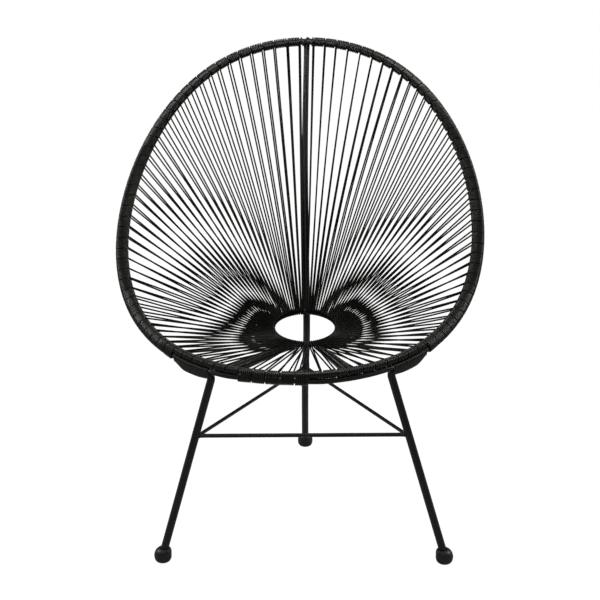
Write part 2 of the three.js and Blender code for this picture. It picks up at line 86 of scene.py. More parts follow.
def curveThrough(points, steps):
    # between points b and c, with neighbours a and d, a cubic whose slopes at b and c are (c - a)/2 and (d - b)/2
    p = np.asarray(points, float)
    p = np.vstack([2 * p[0] - p[1], p, 2 * p[-1] - p[-2]])
    t = (np.arange(steps) / steps)[None, :, None]
    a, b, c, d = (p[i:len(p) - 3 + i, None] for i in range(4))
    body = 0.5 * (2 * b + (c - a) * t + (2 * a - 5 * b + 4 * c - d) * t ** 2 + (3 * b - a - 3 * c + d) * t ** 3)
    return np.vstack([body.reshape(-1, p.shape[1]), p[-2]])


def tube(paths, refs, radius, sides, closed=False):
    # every point p carries a circle p + r (cos a n1 + sin a n2): n1 is the reference direction made square to the
    # path, n2 is path direction x n1; neighbouring circles are joined and the two ends are closed by fans
    p = np.asarray(paths, float)
    p = p[None] if p.ndim == 2 else p
    count, length = p.shape[:2]
    if closed:
        step = unit(np.roll(p, -1, 1) - p)
        t = unit(step + np.roll(step, 1, 1))
    else:
        step = unit(np.diff(p, axis=1))
        t = unit(np.concatenate([step[:, :1], step], 1) + np.concatenate([step, step[:, -1:]], 1))
    ref = np.broadcast_to(np.asarray(refs, float), p.shape)
    n1 = unit(ref - dot(ref, t) * t)
    n2 = np.cross(t, n1)
    angle = 2 * np.pi * np.arange(sides) / sides
    r = np.broadcast_to(np.asarray(radius, float), p.shape[:2])[:, :, None, None]
    ring = n1[:, :, None] * np.cos(angle)[:, None] + n2[:, :, None] * np.sin(angle)[:, None]
    verts = p[:, :, None] + r * ring
    rows = length if closed else length - 1
    k, i, s = np.meshgrid(np.arange(count), np.arange(rows), np.arange(sides), indexing="ij")
    at = lambda row, side: (k * length + row % length) * sides + side % sides
    quads = np.stack([at(i, s), at(i, s + 1), at(i + 1, s + 1), at(i + 1, s)], -1).reshape(-1, 4)
    tris = np.zeros((0, 3), int)
    if not closed:
        k, s = np.meshgrid(np.arange(count), np.arange(1, sides - 1), indexing="ij")
        first = k * length * sides
        last = first + (length - 1) * sides
        tris = np.concatenate([np.stack([first, first + s + 1, first + s], -1).reshape(-1, 3),
                               np.stack([last, last + s, last + s + 1], -1).reshape(-1, 3)])
    travel = alongPath(p)
    lay = np.stack(np.broadcast_arrays(np.cos(angle), np.sin(angle), travel[:, :, None] * layScale), -1)
    return verts.reshape(-1, 3), quads, tris, lay.reshape(-1, 3)


def turned(profile, sides):
    # the profile's (radius, height) pairs swung round Z; a profile that starts and ends on the axis makes a closed body
    profile = np.asarray(profile, float)
    angle = 2 * np.pi * np.arange(sides) / sides
    r, z = profile[:, :1], profile[:, 1:]
    verts = np.stack(np.broadcast_arrays(r * np.cos(angle), r * np.sin(angle), z), -1)
    i, s = np.meshgrid(np.arange(len(profile) - 1), np.arange(sides), indexing="ij")
    at = lambda row, side: row * sides + side % sides
    quads = np.stack([at(i, s), at(i, s + 1), at(i + 1, s + 1), at(i + 1, s)], -1).reshape(-1, 4)
    lay = np.stack(np.broadcast_arrays(np.cos(angle), np.sin(angle), z * layScale), -1)
    return verts.reshape(-1, 3), quads, np.zeros((0, 3), int), lay.reshape(-1, 3)


def joined(*parts):
    # several point and face lists in one, with each face list moved on by the points before it
    starts = np.cumsum([0] + [len(part[0]) for part in parts[:-1]])
    return (np.vstack([part[0] for part in parts]),
            np.vstack([part[1] + start for part, start in zip(parts, starts)]),
            np.vstack([part[2] + start for part, start in zip(parts, starts)]),
            np.vstack([part[3] for part in parts]))


def piece(name, shape, finish, nodes=()):
    # numbers into a mesh, then the piece rides on the chair and stands for its CAD nodes
    verts, quads, tris, lay = shape
    mesh = bpy.data.meshes.new(name)
    loops = np.concatenate([quads.ravel(), tris.ravel()]).astype(np.int32)
    starts = np.concatenate([4 * np.arange(len(quads)), 4 * len(quads) + 3 * np.arange(len(tris))]).astype(np.int32)
    mesh.vertices.add(len(verts))
    mesh.vertices.foreach_set("co", np.ascontiguousarray(verts, np.float32).ravel())
    mesh.loops.add(len(loops))
    mesh.loops.foreach_set("vertex_index", loops)
    mesh.polygons.add(len(starts))
    mesh.polygons.foreach_set("loop_start", starts)
    mesh.attributes.new("lay", "FLOAT_VECTOR", "POINT").data.foreach_set("vector", lay.astype(np.float32).ravel())
    mesh.update(calc_edges=True)
    mesh.validate()
    mesh.shade_smooth()
    mesh.materials.append(finish)
    made = bpy.data.objects.new(name, mesh)
    bpy.context.scene.collection.objects.link(made)
    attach(made, "root")
    if nodes:
        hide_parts(*nodes)


class Flow:
    # wraps a socket, so that arithmetic on it adds Math nodes to its material

    def __init__(self, finish, socket):
        self.finish, self.socket = finish, socket

    def math(self, kind, first, second):
        return self.finish.add("ShaderNodeMath", {"operation": kind}, {0: first, 1: second})

    def __add__(self, other):
        return self.math("ADD", self, other)

    def __mul__(self, other):
        return self.math("MULTIPLY", self, other)

    __radd__ = __add__
    __rmul__ = __mul__


class Finish:
    # the nodes of one material, or of the world: add() makes any node from its settings and the values or links of
    # its sockets, and the methods after it call it for what several finishes use

    def __init__(self, owner):
        owner.use_nodes = True
        self.owner, self.tree = owner, owner.node_tree
        self.tree.nodes.clear()

    def add(self, kind, settings=None, sockets=None, out=0):
        made = self.tree.nodes.new(kind)
        for key, value in (settings or {}).items():
            if key == "stops":
                while len(made.color_ramp.elements) < len(value):
                    made.color_ramp.elements.new(0.5)
                for stop, (place, colour) in zip(made.color_ramp.elements, value):
                    stop.position, stop.color = place, (*colour, 1)
            else:
                setattr(made, key, value)
        for key, value in (sockets or {}).items():
            if isinstance(value, Flow):
                self.tree.links.new(value.socket, made.inputs[key])
            else:
                made.inputs[key].default_value = value
        return Flow(self, made.outputs[out]) if len(made.outputs) else None

    def objectPlace(self):
        return self.add("ShaderNodeTexCoord", out=3)    # its Object output

    def height(self, place):
        return self.add("ShaderNodeSeparateXYZ", {}, {0: place}, out=2)    # its Z output

    def noise(self, place, scale, detail, rough):
        return self.add("ShaderNodeTexNoise", {},
                        {"Vector": place, "Scale": scale, "Detail": detail, "Roughness": rough})

    def carried(self, value, low, high, atLow=0.0, atHigh=1.0, kind="LINEAR"):
        # low to high becomes atLow to atHigh, and holds beyond them
        return self.add("ShaderNodeMapRange", {"interpolation_type": kind},
                        {0: value, 1: low, 2: high, 3: atLow, 4: atHigh})

    def twoTone(self, value, look, lift=1.0):
        # the look's dark colour below its first stop, its light colour above the second
        tones = [tuple(lift * c for c in look[tone]) for tone in ("dark", "light")]
        return self.add("ShaderNodeValToRGB", {"stops": list(zip(look["stops"], tones))}, {0: value})

    def over(self, share, base, colour):
        # base (1 - share) + colour share
        return self.add("ShaderNodeMix", {"data_type": "RGBA"}, {0: share, 6: base, 7: (*colour, 1)}, out=2)

    def bump(self, height, strength, depth):
        return self.add("ShaderNodeBump", {}, {"Strength": strength, "Distance": depth, "Height": height})

    def done(self, **shader):
        surface = self.add("ShaderNodeBsdfPrincipled", {}, shader)
        self.add("ShaderNodeOutputMaterial", {}, {0: surface})
        return self.owner


# in each look a noise is given as scale, detail and roughness, a bump as strength and depth in metres, and what
# ends in Dulls is added to the roughness where that pattern is strongest
coat = {"dark": (0.0042, 0.0042, 0.0046), "light": (0.0078, 0.0077, 0.0082), "worn": (0.024, 0.023, 0.022),
        "stops": (0.3, 0.7), "mottle": (24.0, 4.0, 0.6), "peel": (950.0, 2.0, 0.5), "peelBump": (0.5, 0.00006),
        "specks": (260.0, 3.0, 0.7), "scuffFrom": (0.60, 0.72), "scuffHeights": (0.02, 0.16), "scuffLeast": 0.12,
        "roughness": 0.30, "mottleDulls": 0.12, "scuffDulls": 0.2, "shine": 0.32}


def powderCoat(name, lift=1.0):
    # satin powder coat: broad mottling, fine orange peel, and dull scuffs that thin out above the feet
    finish = Finish(bpy.data.materials.new(name))
    place = finish.objectPlace()
    mottle = finish.noise(place, *coat["mottle"])
    peel = finish.noise(place, *coat["peel"])
    specks = finish.noise(place, *coat["specks"])
    low = finish.carried(finish.height(place), *coat["scuffHeights"], 1.0, coat["scuffLeast"], "SMOOTHSTEP")
    scuff = finish.carried(specks, *coat["scuffFrom"]) * low
    colour = finish.over(scuff, finish.twoTone(mottle, coat, lift), coat["worn"])
    rough = coat["roughness"] + mottle * coat["mottleDulls"] + scuff * coat["scuffDulls"]
    return finish.done(**{"Base Color": colour, "Roughness": rough, "Normal": finish.bump(peel, *coat["peelBump"]),
                          "Specular IOR Level": coat["shine"]})


cordLook = {"dark": (0.0046, 0.0045, 0.0029), "light": (0.0096, 0.0094, 0.0064), "dusty": (0.024, 0.0235, 0.0175),
            "stops": (0.32, 0.68), "lines": (3.2, 4.0, 0.6), "lineBump": (0.6, 0.00008), "patches": (18.0, 4.0, 0.65),
            "grains": (1400.0, 2.0, 0.6), "lineShare": 0.6, "grainShare": 0.5, "dustFrom": (0.55, 0.75),
            "dustMost": 0.5, "roughness": 0.25, "patchDulls": 0.16, "dustDulls": 0.25}


def plasticCord(name, lift=1.0, shine=0.40, tint=(1.0, 0.99, 0.94)):
    # extruded cord: lines run along it, its shine changes slowly from place to place, and dust sits in patches
    finish = Finish(bpy.data.materials.new(name))
    lay = finish.add("ShaderNodeAttribute", {"attribute_name": "lay"}, out=1)
    place = finish.objectPlace()
    lines = finish.noise(lay, *cordLook["lines"])
    patches = finish.noise(place, *cordLook["patches"])
    grains = finish.noise(place, *cordLook["grains"])
    streaks = lines * cordLook["lineShare"] + patches * (1 - cordLook["lineShare"])
    dust = finish.carried(grains * cordLook["grainShare"] + patches * (1 - cordLook["grainShare"]),
                          *cordLook["dustFrom"], 0.0, cordLook["dustMost"])
    colour = finish.over(dust, finish.twoTone(streaks, cordLook, lift), [lift * c for c in cordLook["dusty"]])
    rough = cordLook["roughness"] + patches * cordLook["patchDulls"] + dust * cordLook["dustDulls"]
    return finish.done(**{"Base Color": colour, "Roughness": rough,
                          "Normal": finish.bump(lines, *cordLook["lineBump"]),
                          "Specular IOR Level": shine, "Specular Tint": (*tint, 1)})


capLook = {"dark": (0.0070, 0.0070, 0.0070), "light": (0.0120, 0.0120, 0.0120), "scuffed": (0.05, 0.05, 0.048),
           "stops": (0.3, 0.7), "grain": (2600.0, 2.0, 0.6), "grainBump": (0.5, 0.00005), "broad": (90.0, 4.0, 0.6),
           "scratches": (420.0, 5.0, 0.75), "scuffFrom": (0.5, 0.62), "scuffMost": 0.8, "scuffHeights": (0.001, 0.011),
           "roughness": 0.46, "scuffDulls": 0.2, "shine": 0.35}


def mouldedPlastic(name):
    # moulded foot cap: fine spark-eroded grain, and pale scuffs towards the floor
    finish = Finish(bpy.data.materials.new(name))
    place = finish.objectPlace()
    grain = finish.noise(place, *capLook["grain"])
    broad = finish.noise(place, *capLook["broad"])
    scratches = finish.noise(place, *capLook["scratches"])
    low = finish.carried(finish.height(place), *capLook["scuffHeights"], 1.0, 0.0, "SMOOTHSTEP")
    scuff = finish.carried(scratches, *capLook["scuffFrom"], 0.0, capLook["scuffMost"]) * low
    colour = finish.over(scuff, finish.twoTone(broad, capLook), capLook["scuffed"])
    return finish.done(**{"Base Color": colour, "Roughness": capLook["roughness"] + scuff * capLook["scuffDulls"],
                          "Normal": finish.bump(grain, *capLook["grainBump"]), "Specular IOR Level": capLook["shine"]})


steelCoat = powderCoat("steel coat")
hoopCoat = powderCoat("hoop coat", 0.9)
cordFinish = plasticCord("plastic cord")
# the seat strands take the same cord as the winding, with its colours darkened to 0.42: painted shade for the shade
# among the close-packed strands round the ring
shadedSeatCord = plasticCord("seat cord", 0.42, 0.11, (1.0, 0.985, 0.84))
capFinish = mouldedPlastic("cap plastic")
print("materials ready")


# the origin of the part's own drawing, found from the rear cap and the rear foot's place in the drawing
rearFootY = 0.1645
rearLow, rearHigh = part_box("foot_cap_rear")
drawingOrigin = np.array([(rearLow.x + rearHigh.x) / 2, (rearLow.y + rearHigh.y) / 2 - rearFootY, 0.0])

# places along the hoop are counted in stations from the top: down the right side, along the front and up the left;
# the places under notch, front, leg and arm are counted from the top down their own side
stationCount = 100
hoop = {"halfWidth": 0.3556, "depth": 0.709, "frontHeight": 0.400, "topHeight": 0.901, "turn": math.radians(-2.4),
        "lean": 0.0037, "widthShares": (-0.037, -0.029), "depthShares": (-0.108, -0.023), "fineSteps": 8001,
        "rodRadius": 0.005, "pairSpacing": 0.0103, "bareSpacing": 0.0130, "sides": 14, "stepsPerStation": 6,
        "tiltBack": math.radians(-12), "tiltFront": math.radians(66), "tiltChange": (0.18, 0.45),
        "notch": {"left": 40.5, "right": 38.5}, "front": {"left": 46.5, "right": 48.5},
        "leg": {"left": 44.25, "right": 42.15}, "arm": {"left": 45.0, "right": 45.0}}


def hoopCurve(turn):
    # across: sin t + a sin 2t + b sin 3t; along: cos t + c (cos 2t - 1) + d (cos 3t - cos t);
    # height: the front height, plus the rise times the square of the share of the way to the back;
    # then everything is turned about the upright through the top, and leans sideways as that square
    a, b = hoop["widthShares"]
    c, d = hoop["depthShares"]
    across = np.sin(turn) + a * np.sin(2 * turn) + b * np.sin(3 * turn)
    along = np.cos(turn) + c * (np.cos(2 * turn) - 1) + d * (np.cos(3 * turn) - np.cos(turn))
    climb = ((along + 1) / 2) ** 2
    height = hoop["frontHeight"] + (hoop["topHeight"] - hoop["frontHeight"]) * climb
    x, y = hoop["halfWidth"] * across, hoop["depth"] / 2 * (along - 1)
    cos, sin = math.cos(hoop["turn"]), math.sin(hoop["turn"])
    x, y = cos * x - sin * y + hoop["lean"] * climb, sin * x + cos * y + hoop["depth"] / 2
    return np.stack([x, y, height], -1) + drawingOrigin


fineTurns = np.linspace(0, 2 * np.pi, hoop["fineSteps"])
fineLengths = alongPath(hoopCurve(fineTurns))
hoopLength = fineLengths[-1]
stationLength = hoopLength / stationCount


def countedDown(station):
    # the station counted from the top down its own side
    return np.where(station <= stationCount / 2, station, stationCount - station)


def onItsSide(key, station):
    # the hoop's notch, front or leg on the side where the station is
    return np.where(station <= stationCount / 2, hoop[key]["right"], hoop[key]["left"])


def woundTogether(station):
    # 1 where both rods are wound together, falling to 0 over two stations past the notches and beside the front
    down, notch, front = countedDown(station), onItsSide("notch", station), onItsSide("front", station)
    return np.maximum(np.clip((notch + 1 - down) / 2, 0, 1), np.clip((down - front + 1) / 2, 0, 1))


# between notch and leg, cord is wound round leg and outer rod together. In stations: how far it stays from both and
# over what it changes; least and atLeg are shares of the leg's distance from the rod, at the notch and at the leg;
# then the cord's distance from both middles, and the shares of their radii that are left underneath
wrap = {"fromNotch": 0.2, "fromLeg": 0.18, "change": 0.5, "taper": 1.2, "legTaper": 1.4, "least": 0.35, "atLeg": 0.74,
        "pitch": 0.0035, "rodReach": 0.0046, "legReach": 0.0067, "rodShare": 0.58, "legShare": 0.65}


def underWrap(station):
    # 1 along the stretch where leg and outer rod are wound together, 0 elsewhere
    down, notch, leg = countedDown(station), onItsSide("notch", station), onItsSide("leg", station)
    return smooth(notch, notch + wrap["change"], down) * smooth(leg, leg - wrap["change"], down)


def section(station):
    # the hoop's centre, its outward and upward directions square to it, and the offset from inner to outer rod
    station = np.mod(np.asarray(station, float), stationCount)
    turn = np.interp(station / stationCount * hoopLength, fineLengths, fineTurns)
    centre = hoopCurve(turn)
    near = 1e-4    # points this far to both sides give the tangent
    tangent = unit(hoopCurve(turn + near) - hoopCurve(turn - near))
    outward = unit(np.cross(worldUp, tangent))
    upward = unit(np.cross(tangent, outward))
    share = np.minimum(station, stationCount - station) / stationCount
    tilt = hoop["tiltBack"] + (hoop["tiltFront"] - hoop["tiltBack"]) * smooth(*hoop["tiltChange"], share)
    spacing = hoop["bareSpacing"] + (hoop["pairSpacing"] - hoop["bareSpacing"]) * woundTogether(station)
    pair = np.stack([np.cos(tilt), -np.sin(tilt)], -1) * spacing[..., None]
    return {"centre": centre, "tangent": tangent, "outward": outward, "upward": upward, "pair": pair}


def inSection(sec, x, y):
    # the centre, plus x times outward and y times upward
    return sec["centre"] + sec["outward"] * np.asarray(x)[..., None] + sec["upward"] * np.asarray(y)[..., None]


around = np.arange(stationCount * hoop["stepsPerStation"]) / hoop["stepsPerStation"]
rounds = section(around)
innerRod = tube(rounds["centre"], rounds["upward"], hoop["rodRadius"], hoop["sides"], closed=True)
outerPath = inSection(rounds, rounds["pair"][:, 0], rounds["pair"][:, 1])
outerRadius = hoop["rodRadius"] * (1 - (1 - wrap["rodShare"]) * underWrap(around))
outerRod = tube(outerPath, rounds["upward"], outerRadius[None], hoop["sides"], closed=True)
piece("hoopInnerRod", innerRod, hoopCoat, ["hoop_inner_rod"])
piece("hoopOuterRod", outerRod, hoopCoat, ["hoop_outer_rod"])
print("hoop rods ready")


ring = {"radius": 0.0724, "rodRadius": 0.005, "height": 0.3605, "setBack": -0.0075, "tilt": math.radians(9),
        "lugGap": 0.00915, "steps": 160, "sides": 18}
ringCentre = np.array([0.0, ring["setBack"], ring["height"]]) + drawingOrigin
ringRight = np.array([1.0, 0.0, 0.0])
ringBack = np.array([0.0, math.cos(ring["tilt"]), math.sin(ring["tilt"])])
ringNormal = np.array([0.0, -math.sin(ring["tilt"]), math.cos(ring["tilt"])])


def ringSection(angle):
    # the centre plus the radius times (sin a right + cos a back), with outward towards the ring's middle and upward
    # along its axis
    angle = np.asarray(angle, float)[..., None]
    radial = np.sin(angle) * ringRight + np.cos(angle) * ringBack
    return {"centre": ringCentre + ring["radius"] * radial, "outward": -radial,
            "upward": np.broadcast_to(ringNormal, radial.shape),
            "tangent": np.cos(angle) * ringRight - np.sin(angle) * ringBack}


lugAngle = ring["lugGap"] / ring["radius"]
ringPitch = (2 * np.pi - lugAngle) / (stationCount - 1)
ringLoop = ringSection(2 * np.pi * np.arange(ring["steps"]) / ring["steps"])
piece("seatRing", tube(ringLoop["centre"], ringNormal, ring["rodRadius"], ring["sides"], closed=True), steelCoat,
      ["seat_ring"])


# jitters are in stations, and on the ring in its own pitch; at the spine the winding crosses the top, from jumpReach
# before it to jumpReach behind it, between the two places of jumpTurn, in turns past its middle one
cord = {"radius": 0.0017, "clear": 0.00005, "slack": 0.0015, "jitter": 0.05, "ringJitter": 0.11, "runs": 10,
        "turnsBetween": 6, "turnsAtSpine": 2, "jumpReach": 0.0089, "jumpTurn": (0.02, 0.48),
        "strandSides": 10, "strandSteps": 4, "ringSteps": 11, "passes": 5, "sides": 8, "pointsPerTurn": 16}

# hand-laid cord drifts along the hoop: how far, in stations, at some of the stations
cordDrift = ((0, 0.0), (3, -0.08), (6, 0.25), (9, 0.28), (13, 0.08), (22, 0.0), (26, 0.22), (30, 0.34), (34, 0.28),
             (38, 0.0), (59, 0.0), (62, -0.35), (65, -0.58), (68, -0.65), (71, -0.48), (73, -0.32), (76, -0.20),
             (79, -0.15), (82, -0.22), (87, -0.42), (91, -0.62), (94, -0.62), (97, -0.42), (99.5, -0.18), (100, -0.1))

random = np.random.default_rng(48)
index = np.arange(stationCount)
stationAt = index + 0.5 + cord["jitter"] * random.uniform(-1, 1, len(index))
stationAt = stationAt + np.interp(index + 0.5, *np.transpose(cordDrift))
halfGap = (cord["radius"] + cord["clear"]) / stationLength
hoopReach = hoop["rodRadius"] + cord["radius"] + cord["clear"]
ringReach = ring["rodRadius"] + cord["radius"] + cord["clear"]

# interval i runs from cord i to the next one. These are the first intervals behind the right notch, of the front,
# behind the front and behind the left notch, and the one that crosses the spine; between them the cord is wound
# round both rods or round the inner one alone
cornerRight, frontFirst = int(hoop["notch"]["right"]), int(hoop["front"]["right"])
cornerLeft = int(stationCount - hoop["front"]["left"])
backLeft = int(stationCount - hoop["notch"]["left"])
atSpine = stationCount - 1
pairInterval = (index < cornerRight) | (index >= backLeft) | ((index >= frontFirst) & (index < cornerLeft))


def hoopTurn(sec, angle, both):
    # the point of the cord's centre line at an angle round the rods: the normal times the reach, plus the offset
    # of the outer rod wherever the normal looks its way
    normal = np.stack([np.cos(angle), np.sin(angle)], -1)
    seesOuter = ((normal * sec["pair"]).sum(-1) > 0) & both
    at = normal * hoopReach + np.where(seesOuter[..., None], sec["pair"], 0)
    return inSection(sec, at[..., 0], at[..., 1])


def strandAngles(sec, ringSec, both, top):
    # where a strand touches hoop and ring, as angles of its normal in both sections: it lies square to the normals,
    # so each pass takes its direction from the two points found by the pass before
    side = 1 if top else -1
    run = ringSec["centre"] - sec["centre"]
    for again in range(cord["passes"]):
        flat = [[(run * where[key]).sum(-1) for key in ("outward", "upward")] for where in (sec, ringSec)]
        atHoop = np.arctan2(-side * flat[0][0], side * flat[0][1])
        atRing = np.arctan2(side * flat[1][0], -side * flat[1][1])
        onRing = inSection(ringSec, ringReach * np.cos(atRing), ringReach * np.sin(atRing))
        run = onRing - hoopTurn(sec, atHoop, both)
    return atHoop, atRing


ringShift = cord["ringJitter"] * random.uniform(-1, 1, len(index))
ringAt = ringSection(lugAngle / 2 + (index + ringShift) * ringPitch)
arriveSection = section(stationAt + halfGap)
leaveSection = section(stationAt - halfGap)
arriveBoth = pairInterval
leaveBoth = np.roll(pairInterval, 1)
topHoop, topRing = strandAngles(arriveSection, ringAt, arriveBoth, True)
lowHoop, lowRing = strandAngles(leaveSection, ringAt, leaveBoth, False)

# a seat loop: from the underside of the hoop to the ring, loosely round the ring's inner side, and back over the top
share = np.linspace(0, 1, cord["ringSteps"])
ringWrap = lowRing[:, None] + (topRing - lowRing)[:, None] * share
ringGrid = {key: np.repeat(value[:, None], len(share), 1) for key, value in ringAt.items()}
wrapReach = ringReach + cord["slack"] * np.clip(np.cos(ringWrap), 0, 1) ** 2
wrapPoints = inSection(ringGrid, wrapReach * np.cos(ringWrap), wrapReach * np.sin(ringWrap))
leavePoint = hoopTurn(leaveSection, lowHoop, leaveBoth)
arrivePoint = hoopTurn(arriveSection, topHoop, arriveBoth)
fade = np.linspace(1, 0, cord["strandSteps"] + 1)[:-1]
mid = 1 - fade[None, 1:, None]
down = leavePoint[:, None] * (1 - mid) + wrapPoints[:, :1] * mid
back = wrapPoints[:, -1:] * (1 - mid) + arrivePoint[:, None] * mid
loops = np.concatenate([leavePoint[:, None], down, wrapPoints, back, arrivePoint[:, None]], 1)
hoopWeight = np.concatenate([fade, np.zeros(len(share)), fade[::-1]])[None, :, None]
loopRefs = unit(leaveSection["tangent"][:, None] * hoopWeight + ringAt["tangent"][:, None] * (1 - hoopWeight))
perRun = stationCount // cord["runs"]
for run in range(cord["runs"]):
    rows = slice(run * perRun, (run + 1) * perRun)
    name = f"cord_run_{run + 1:02d}"
    strands = tube(loops[rows], loopRefs[rows], cord["radius"], cord["strandSides"])
    piece(f"seatCord_{run + 1:02d}", strands, shadedSeatCord, [name])
print("seat cord ready")


def hoopWinding(rows, turns, jumpAt=None):
    # from the top of the rods at station i the cord's angle falls steadily to the bottom at station i + 1, while
    # its place moves on steadily, or crosses a blocked stretch in one outer half turn
    following = (rows + 1) % stationCount
    start = stationAt[rows] + halfGap
    end = stationAt[following] + np.where(rows == atSpine, stationCount, 0) - halfGap
    samples = int((turns + 0.5) * cord["pointsPerTurn"]) + 1
    t = np.linspace(0, 1, samples)[None]
    angle = topHoop[rows][:, None] + (lowHoop[following] - 2 * np.pi * turns - topHoop[rows])[:, None] * t
    if jumpAt is None:
        at = start[:, None] + (end - start)[:, None] * t
    else:
        reach = cord["jumpReach"] / stationLength
        jumpStart, jumpEnd = (turns / 2 + turn for turn in cord["jumpTurn"])
        knots = [0, jumpStart, jumpEnd, turns + 0.5]
        at = np.stack([np.interp(t[0] * (turns + 0.5), knots, [s, jumpAt - reach, jumpAt + reach, e])
                       for s, e in zip(start, end)])
    both = np.broadcast_to(pairInterval[rows][:, None], at.shape)
    sec = section(at)
    return tube(hoopTurn(sec, angle, both), sec["tangent"], cord["radius"], cord["sides"])


windings = {
    "hoopWindingBack_left": (range(backLeft, atSpine), "hoop_winding_back", []),
    "hoopWindingBack_right": (range(0, cornerRight), "hoop_winding_back", ["hoop_winding_back"]),
    "hoopWindingCorner_right": (range(cornerRight, frontFirst), "hoop_winding_corner_right",
                                ["hoop_winding_corner_right"]),
    "hoopWindingFront": (range(frontFirst, cornerLeft), "hoop_winding_front", ["hoop_winding_front"]),
    "hoopWindingCorner_left": (range(cornerLeft, backLeft), "hoop_winding_corner_left", ["hoop_winding_corner_left"]),
}
for name, (intervals, slot, nodes) in windings.items():
    coils = hoopWinding(np.array(intervals), cord["turnsBetween"])
    if intervals.stop == atSpine:
        coils = joined(coils, hoopWinding(np.array([atSpine]), cord["turnsAtSpine"], stationCount))
    piece(name, coils, cordFinish, nodes)
print("hoop winding ready")


# a leg rises to its station on the hoop, then follows the outer rod, below it at the hug tilt, until hugEnd stations
# before the notch; it is thin under the cord, from coverFrom on, but not in the first points of its bend
legTube = {"radius": 0.0076, "sides": 24, "foot": (0.275, -0.344), "footHeight": 0.0145, "inset": 0.001,
           "bend": 0.011, "bendSteps": 18, "upSteps": 24, "hugTilt": math.radians(70), "hugGap": 0.0002,
           "hugEnd": 0.8, "hugStep": 0.25, "hugFine": 3, "tip": 0.018, "tipThin": 0.99,
           "coverFrom": (0.006, 0.016), "bareBend": 7}
sideSign = {"left": -1, "right": 1}


def hugOffset(side, fromTop):
    # from the outer rod down and inwards to the leg that follows it, closest where the leg comes up
    leg = hoop["leg"][side]
    close = wrap["atLeg"] + (1 - wrap["atLeg"]) * smooth(leg, leg - wrap["legTaper"], fromTop)
    reach = (hoop["rodRadius"] + legTube["radius"] + legTube["hugGap"]) * close
    return -reach[:, None] * np.array([math.cos(legTube["hugTilt"]), math.sin(legTube["hugTilt"])])


def legWinding(side):
    # a belt round outer rod and leg: each of its points lies on the circle that reaches farther along its normal;
    # towards the notch the leg's circle shrinks and closes in on the rod
    low, high = hoop["notch"][side] + wrap["fromNotch"], hoop["leg"][side] - wrap["fromLeg"]
    turns = round((high - low) * stationLength / wrap["pitch"])
    t = np.linspace(0, 1, turns * cord["pointsPerTurn"] + 1)
    fromTop = low + (high - low) * t
    sec = section(fromTop if sideSign[side] > 0 else stationCount - fromTop)
    angle = 2 * np.pi * turns * t
    full = smooth(low, low + wrap["taper"], fromTop)
    offset = hugOffset(side, fromTop) * (wrap["least"] + (1 - wrap["least"]) * full)[:, None]
    normal = np.stack([np.cos(angle), np.sin(angle)], -1)
    legReach = wrap["rodReach"] + (wrap["legReach"] - wrap["rodReach"]) * full
    seesLeg = (normal * offset).sum(-1) + legReach > wrap["rodReach"]
    at = sec["pair"] + normal * np.where(seesLeg, legReach, wrap["rodReach"])[:, None]
    at = at + np.where(seesLeg[:, None], offset, 0)
    return tube(inSection(sec, at[:, 0], at[:, 1]), sec["tangent"], cord["radius"], cord["sides"])


legs = {}
for side, sign in sideSign.items():
    foot = np.array([sign * legTube["foot"][0], legTube["foot"][1], legTube["footHeight"]]) + drawingOrigin
    stations = np.arange(hoop["leg"][side], hoop["notch"][side] + legTube["hugEnd"], -legTube["hugStep"])
    sec = section(stations if sign > 0 else stationCount - stations)
    middle = sec["pair"] + hugOffset(side, stations)
    hug = curveThrough(inSection(sec, middle[:, 0], middle[:, 1]), legTube["hugFine"])
    corner = hug[0]
    after = np.linalg.norm(hug - corner, axis=1) > legTube["bend"]
    curved = bend(foot, corner, hug[after][0], legTube["bend"], legTube["bendSteps"])
    up = straight(foot + unit(corner - foot) * legTube["inset"], curved[0], legTube["upSteps"])
    path = np.vstack([up[:-1], curved, hug[after]])
    legs[side] = {"foot": foot, "up": unit(corner - foot)}
    fromEnd = alongPath(path)[-1] - alongPath(path)
    nearTip = np.clip(1 - fromEnd / legTube["tip"], 0, 1)
    radius = legTube["radius"] * np.sqrt(1 - legTube["tipThin"] * nearTip ** 2)
    covered = smooth(*legTube["coverFrom"], np.linalg.norm(path - corner, axis=1))
    covered = covered * (np.arange(len(path)) > len(up) + legTube["bareBend"])
    radius = radius * (1 - (1 - wrap["legShare"]) * covered)
    shape = tube(path, np.array([0.0, 1.0, 0.0]), radius[None], legTube["sides"])
    piece(f"frontLeg_{side}", shape, steelCoat, [f"front_leg_{side}"])
    piece(f"legCord_{side}", legWinding(side), cordFinish)


# the bent tube is not quite straight: it sways sideways by a few millimetres with height, thins towards the top, and
# swells to a collar where it meets the hoop
spine = {"bend": 0.026, "drop": 0.030, "clear": 0.0192, "endDrop": 0.0025, "thin": 0.82, "thinFrom": (0.45, 0.95),
         "collar": 0.13, "collarFrom": (0.020, 0.006), "upSteps": 20, "bendSteps": 20, "backSteps": 60,
         "sway": ((0.0, 0.0), (0.20, 0.0), (0.36, 0.0035), (0.52, 0.0), (0.75, -0.0045), (1.0, -0.0030)),
         "swaySteps": 12}
rearFoot = np.array([0.0, rearFootY, legTube["footHeight"]]) + drawingOrigin
topSection = section(0.0)
spineTop = inSection(topSection, topSection["pair"][0], topSection["pair"][1])
ringRear = ringSection(0.0)["centre"]
rise = unit(spineTop - ringRear)
passing = ringRear + np.array([0.0, rise[2], -rise[1]]) * spine["clear"]
slope = unit(spineTop - passing)
rearCorner = passing - slope * spine["drop"]
rearCurve = bend(rearFoot, rearCorner, spineTop, spine["bend"], spine["bendSteps"])
rearUp = unit(rearCorner - rearFoot)
spineEnd = spineTop - slope * spine["endDrop"]
rearPath = np.vstack([straight(rearFoot + rearUp * legTube["inset"], rearCurve[0], spine["upSteps"])[:-1], rearCurve,
                      straight(rearCurve[-1], spineEnd, spine["backSteps"])[1:]])
heightShare = rearPath[:, 2] / spineTop[2]
swayCurve = curveThrough(spine["sway"], spine["swaySteps"])
